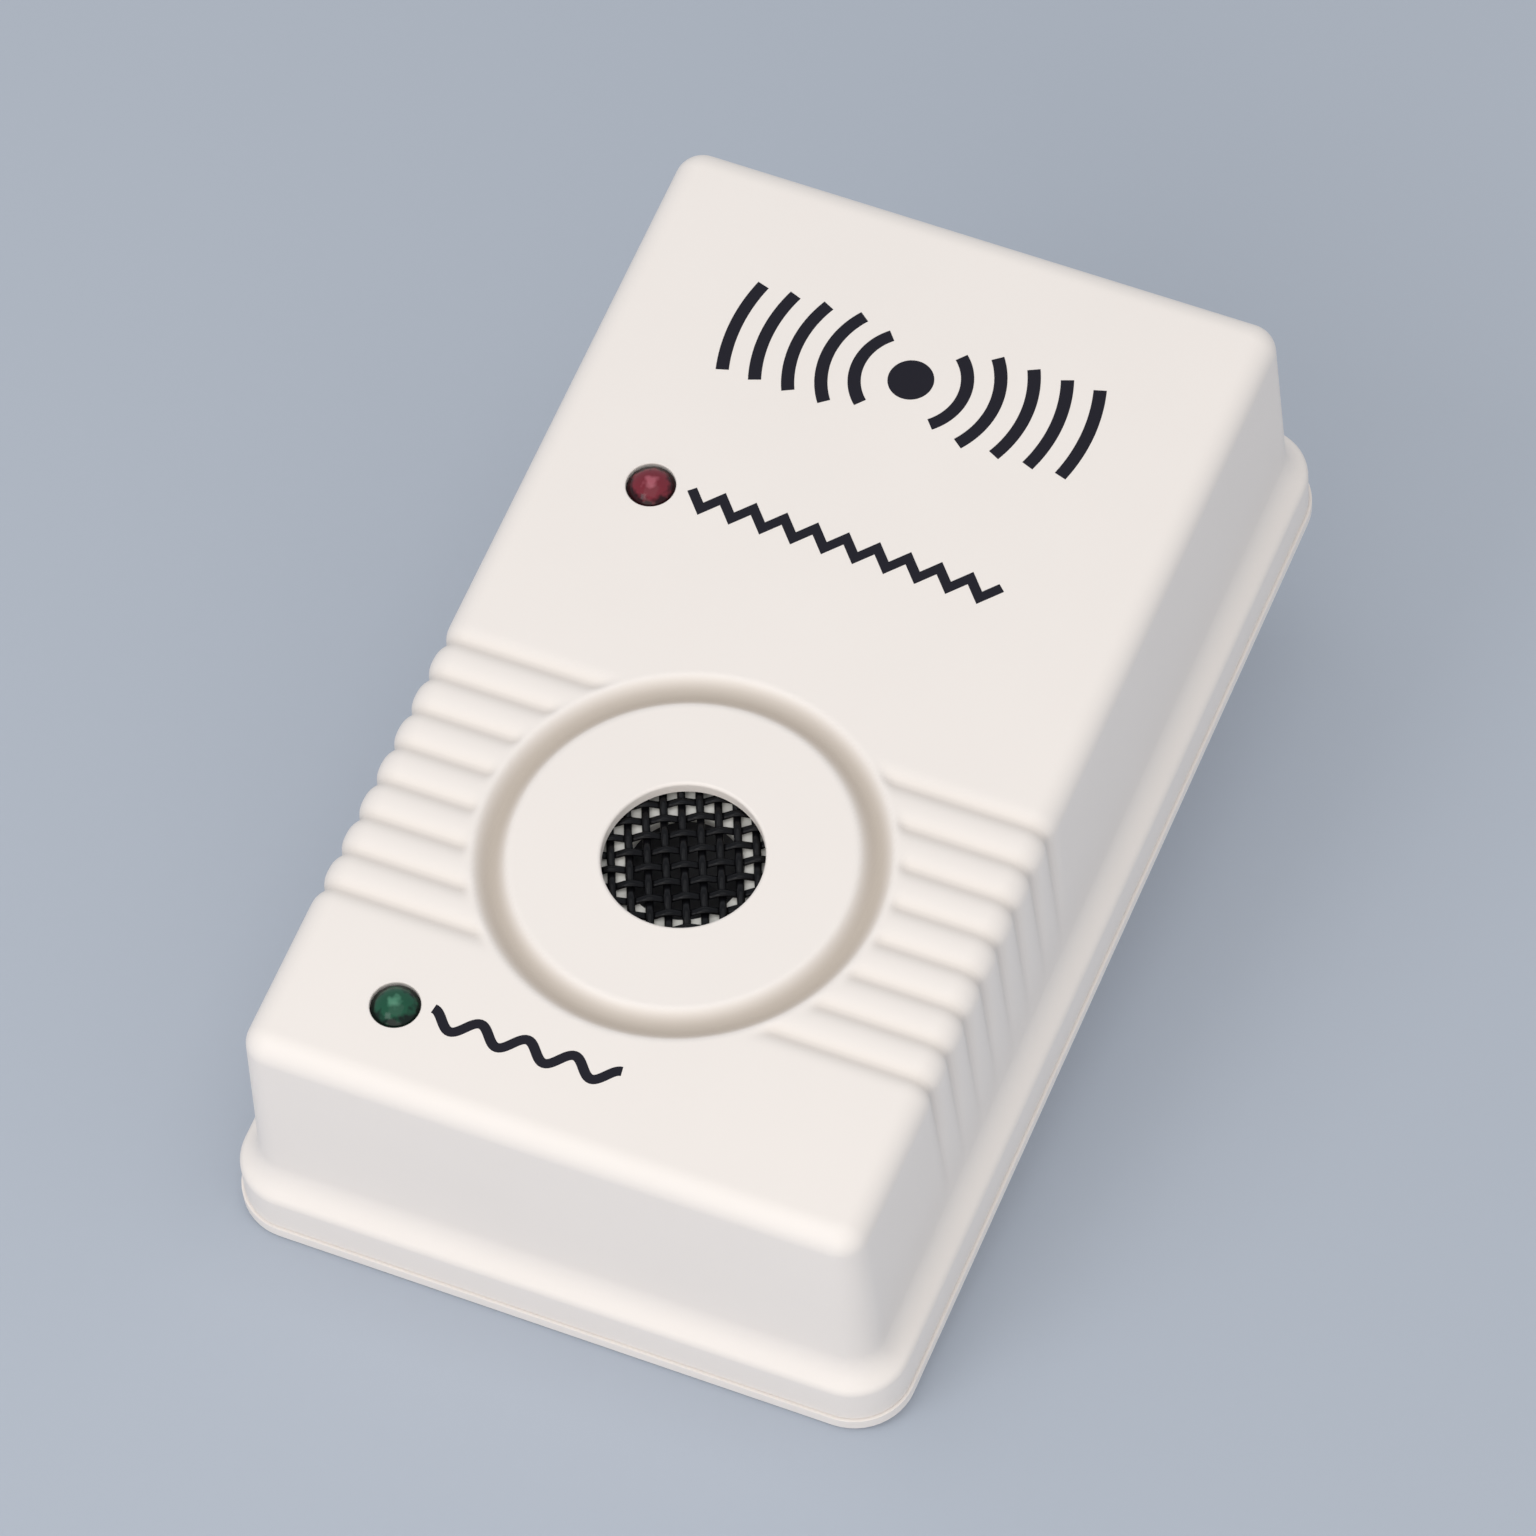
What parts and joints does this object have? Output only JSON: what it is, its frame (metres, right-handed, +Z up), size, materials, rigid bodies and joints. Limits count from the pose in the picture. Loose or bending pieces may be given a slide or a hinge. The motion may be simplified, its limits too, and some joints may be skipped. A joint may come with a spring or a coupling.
{
  "type": "ultrasonic pest repeller",
  "caption": "Plug-in ultrasonic pest repeller: ribbed moulded case with a round sounder grille, indicator lamps and a flat-blade mains plug on its back.",
  "frame": {"origin": "on the wall face of the back cover, midway between the plug blades", "axes": "+Z up the wall along the long side, -Y out of the front face into the room, +Y along the blades into the wall, +X to the right seen from the front"},
  "size_m": [0.07, 0.0487, 0.117],
  "materials": {
    "ivory_plastic": "fine satin moulded surface",
    "insert_plastic": "satin",
    "plated_brass": "nickel plated, satin",
    "screw_steel": "zinc plated",
    "black_wire": "black satin",
    "pale_felt": "felt",
    "black_plastic": "satin",
    "foil_cone": "black anodised",
    "piezo_brass": "satin",
    "foam": "matt foam",
    "red_lens": "clear tinted",
    "green_lens": "clear tinted",
    "tinned_wire": "tinned",
    "laminate": "satin",
    "bobbin_plastic": "satin",
    "copper_wire": "enamelled",
    "soft_iron": "bare",
    "ferrite": "matt",
    "film_box": "satin",
    "can_sleeve": "printed sleeve",
    "chip_plastic": "matt",
    "resistor_paint": "painted",
    "fuse_tube": "glazed",
    "red_lead": "satin",
    "brown_lead": "satin",
    "blue_lead": "satin"
  },
  "bodies": {
    "root": {"front_housing": "ivory_plastic", "back_cover": "ivory_plastic", "plug_insert": "insert_plastic", "plug_blade_left": "plated_brass", "plug_blade_right": "plated_brass", "case_screws": "screw_steel", "grille_mesh": "black_wire", "mesh_gasket": "pale_felt", "transducer_case": "black_plastic", "transducer_cone": "foil_cone", "piezo_disc": "piezo_brass", "transducer_pad": "foam", "transducer_leads": "red_lead", "red_led": "red_lens", "green_led": "green_lens", "led_legs": "tinned_wire", "circuit_board": "laminate", "board_screws": "screw_steel", "coil_bobbin": "bobbin_plastic", "coil_winding": "copper_wire", "coil_core": "soft_iron", "film_capacitor": "film_box", "smoothing_capacitor": "can_sleeve", "timer_chip": "chip_plastic", "chip_pins": "tinned_wire", "driver_transistors": "chip_plastic", "rectifier_diodes": "chip_plastic", "resistors": "resistor_paint", "fuse": "fuse_tube", "choke_core": "ferrite", "choke_winding": "copper_wire", "live_lead": "brown_lead", "neutral_lead": "blue_lead"}
  },
  "joints": []
}
